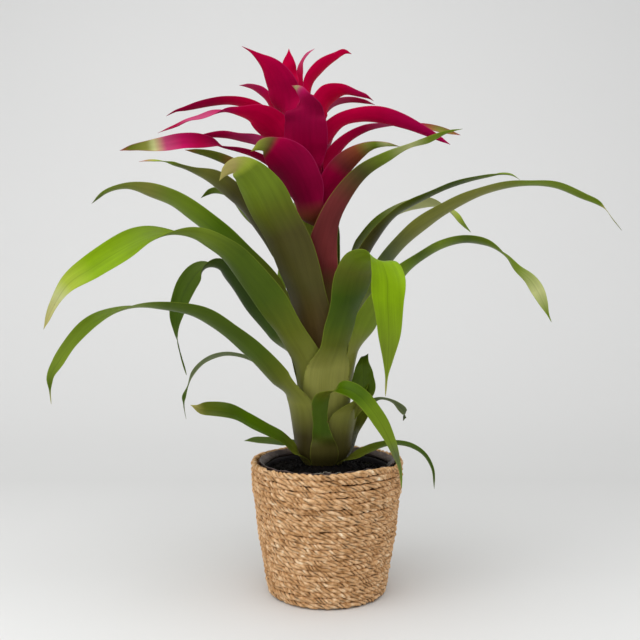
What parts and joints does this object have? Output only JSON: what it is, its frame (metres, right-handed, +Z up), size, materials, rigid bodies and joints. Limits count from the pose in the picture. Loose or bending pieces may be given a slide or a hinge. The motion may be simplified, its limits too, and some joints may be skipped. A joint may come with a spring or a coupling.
{
  "type": "potted bromeliad",
  "caption": "Bromeliad with arching strap leaves and a crimson star of bracts, in a growing pot set in a lined seagrass basket.",
  "frame": {"origin": "middle of the basket's flat underside, on the floor", "axes": "+Z up; the picture looks along +Y, with its right-hand side towards +X"},
  "size_m": [0.5422, 0.321, 0.5347],
  "materials": {
    "basket": "twisted seagrass rope, straw brown, matt",
    "basket_liner": "dark grey-brown film, soft sheen",
    "nursery_pot": "black moulded plastic",
    "soil": "dark damp potting mix",
    "stem": "green plant stalk",
    "leaf": "smooth green leaf, satin",
    "inner_leaf": "smooth olive to red-brown leaf, satin",
    "bract": "smooth crimson bract, satin"
  },
  "bodies": {
    "root": {"basket": "basket", "basket_liner": "basket_liner", "nursery_pot": "nursery_pot", "soil": "soil", "stem": "stem", "leaf_low_front": "leaf", "leaf_low_right": "leaf", "leaf_low_left": "leaf", "leaf_low_back_left": "leaf", "leaf_left_low": "leaf", "leaf_front_fold": "leaf", "leaf_right_small": "leaf", "leaf_left_big": "leaf", "leaf_right_arch": "leaf", "leaf_left_thin": "leaf", "leaf_right_hang": "leaf", "leaf_right_long": "leaf", "leaf_left_hang": "leaf", "leaf_front_big": "leaf", "leaf_left_upper": "leaf", "leaf_right_upper": "inner_leaf", "leaf_right_red": "inner_leaf", "leaf_left_dark": "inner_leaf", "leaf_right_pale": "inner_leaf", "leaf_right_dark": "inner_leaf", "leaf_left_short": "inner_leaf", "leaf_left_olive": "inner_leaf", "leaf_back_low": "leaf", "leaf_back_right": "leaf", "leaf_back_left": "leaf", "leaf_back_arch": "leaf", "leaf_back_high": "leaf", "leaf_back_top": "inner_leaf", "leaf_back_inner": "inner_leaf", "bract_top_point": "bract", "bract_top_left": "bract", "bract_top_thin": "bract", "bract_top_right": "bract", "bract_back_left": "bract", "bract_upper_left": "bract", "bract_front_left": "bract", "bract_front_cup": "bract", "bract_upper_right": "bract", "bract_under_right": "bract", "bract_right_wide": "bract", "bract_right_slim": "bract", "bract_left_tail": "bract", "bract_left_green_tip": "bract", "bract_front_wide": "bract", "bract_right_maroon": "bract", "bract_small_right": "bract", "bract_far_low": "bract", "bract_far_left": "bract", "bract_far_right": "bract", "bract_far_high": "bract", "bract_far_top": "bract"}
  },
  "joints": []
}
